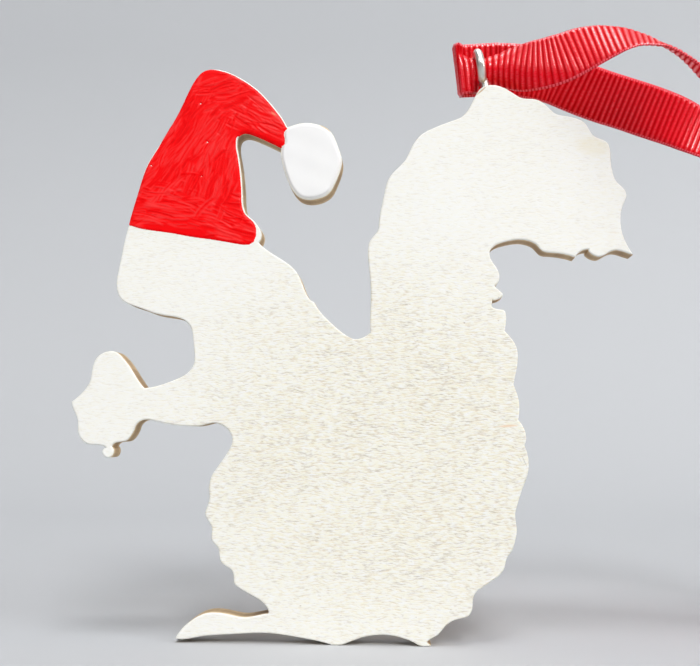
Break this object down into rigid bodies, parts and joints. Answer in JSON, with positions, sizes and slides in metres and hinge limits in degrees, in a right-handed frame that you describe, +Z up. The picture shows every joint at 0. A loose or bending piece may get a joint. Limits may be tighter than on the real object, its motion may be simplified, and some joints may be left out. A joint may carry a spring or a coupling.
{
  "type": "hanging ornament",
  "caption": "Flat plywood squirrel ornament with a painted Santa hat, holding an acorn, hung by a screw eye and a red grosgrain ribbon loop.",
  "frame": {"origin": "middle of the board's footprint, on the ground it stands on", "axes": "+Z up the standing board, -Y out of its painted front, +X to the tail's side"},
  "size_m": [0.1475, 0.0207, 0.0836],
  "materials": {
    "whitewashed_ply": "matte whitewash over wood",
    "core_wood": "raw sawn edge",
    "back_wood": "raw wood",
    "red_paint": "thick brushed paint",
    "white_paint": "thick smooth paint",
    "nickel": "bright nickel plate",
    "ribbon": "ribbed grosgrain"
  },
  "bodies": {
    "board": {"front_ply": "whitewashed_ply", "core_ply": "core_wood", "back_ply": "back_wood", "hat_paint": "red_paint", "pompom_paint": "white_paint", "ribbon_front_strand": "ribbon", "ribbon_rear_strand": "ribbon", "ribbon_knot": "ribbon", "ribbon_front_tail": "ribbon", "ribbon_rear_tail": "ribbon"},
    "eye": {"screw_eye": "nickel"}
  },
  "joints": [
    {"name": "eye_turn", "type": "hinge", "parent": "board", "child": "eye", "pos_m": [0.01872, 0, 0.07988], "axis": [-0.1822, 0, 0.9833], "range_deg": [-20, 20]}
  ]
}
